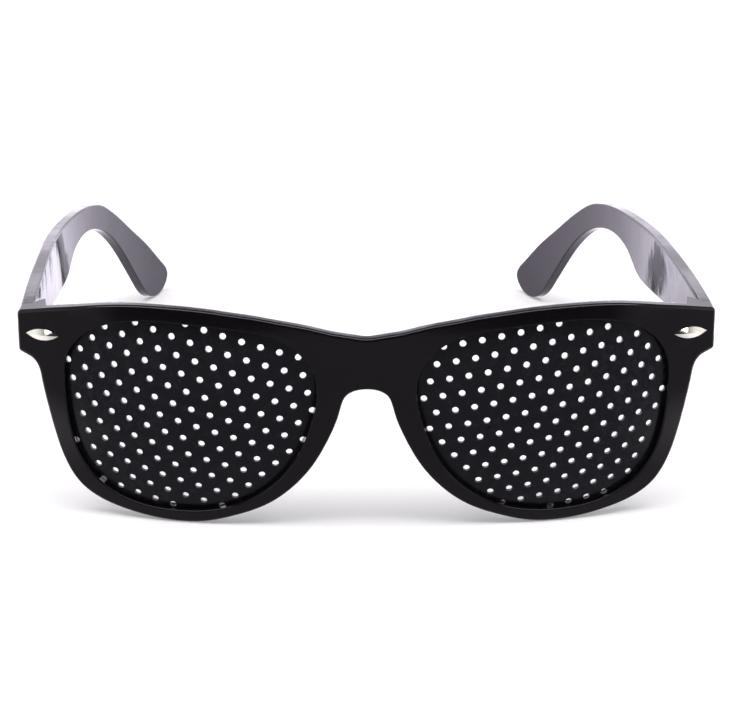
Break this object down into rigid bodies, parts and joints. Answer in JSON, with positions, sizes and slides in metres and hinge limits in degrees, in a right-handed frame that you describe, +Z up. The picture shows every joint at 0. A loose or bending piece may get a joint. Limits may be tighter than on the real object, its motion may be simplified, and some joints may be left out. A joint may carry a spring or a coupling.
{
  "type": "pinhole glasses",
  "caption": "Full-rim plastic eyewear with bowed perforated screens in place of clear lenses, pointed oval studs on the endpieces, and folding temples that bend down behind the ears.",
  "frame": {"origin": "the nose saddle: the top of the arch between the rims, at the middle of the bridge's thickness", "axes": "+X across the front towards the wearer's left, +Y from the front back to the ears, +Z up from the table it stands on"},
  "size_m": [0.1477, 0.1456, 0.0487],
  "materials": {
    "frame_plastic": "polished black moulding",
    "screen_plastic": "smooth black sheet",
    "temple_plastic": "polished black moulding",
    "stud_metal": "bright plated",
    "screw_steel": "plain steel"
  },
  "bodies": {
    "front": {"front_frame": "frame_plastic", "right_lens": "screen_plastic", "left_lens": "screen_plastic", "right_stud": "stud_metal", "left_stud": "stud_metal"},
    "right_arm": {"right_temple": "temple_plastic", "right_hinge_screw": "screw_steel"},
    "left_arm": {"left_temple": "temple_plastic", "left_hinge_screw": "screw_steel"}
  },
  "joints": [
    {"name": "right_temple_fold", "type": "hinge", "parent": "front", "child": "right_arm", "pos_m": [-0.0692, 0.0173, 0.0077], "axis": [0, 0, -1], "range_deg": [0, 85]},
    {"name": "left_temple_fold", "type": "hinge", "parent": "front", "child": "left_arm", "pos_m": [0.0692, 0.0173, 0.0077], "axis": [0, 0, 1], "range_deg": [-6, 72]}
  ]
}
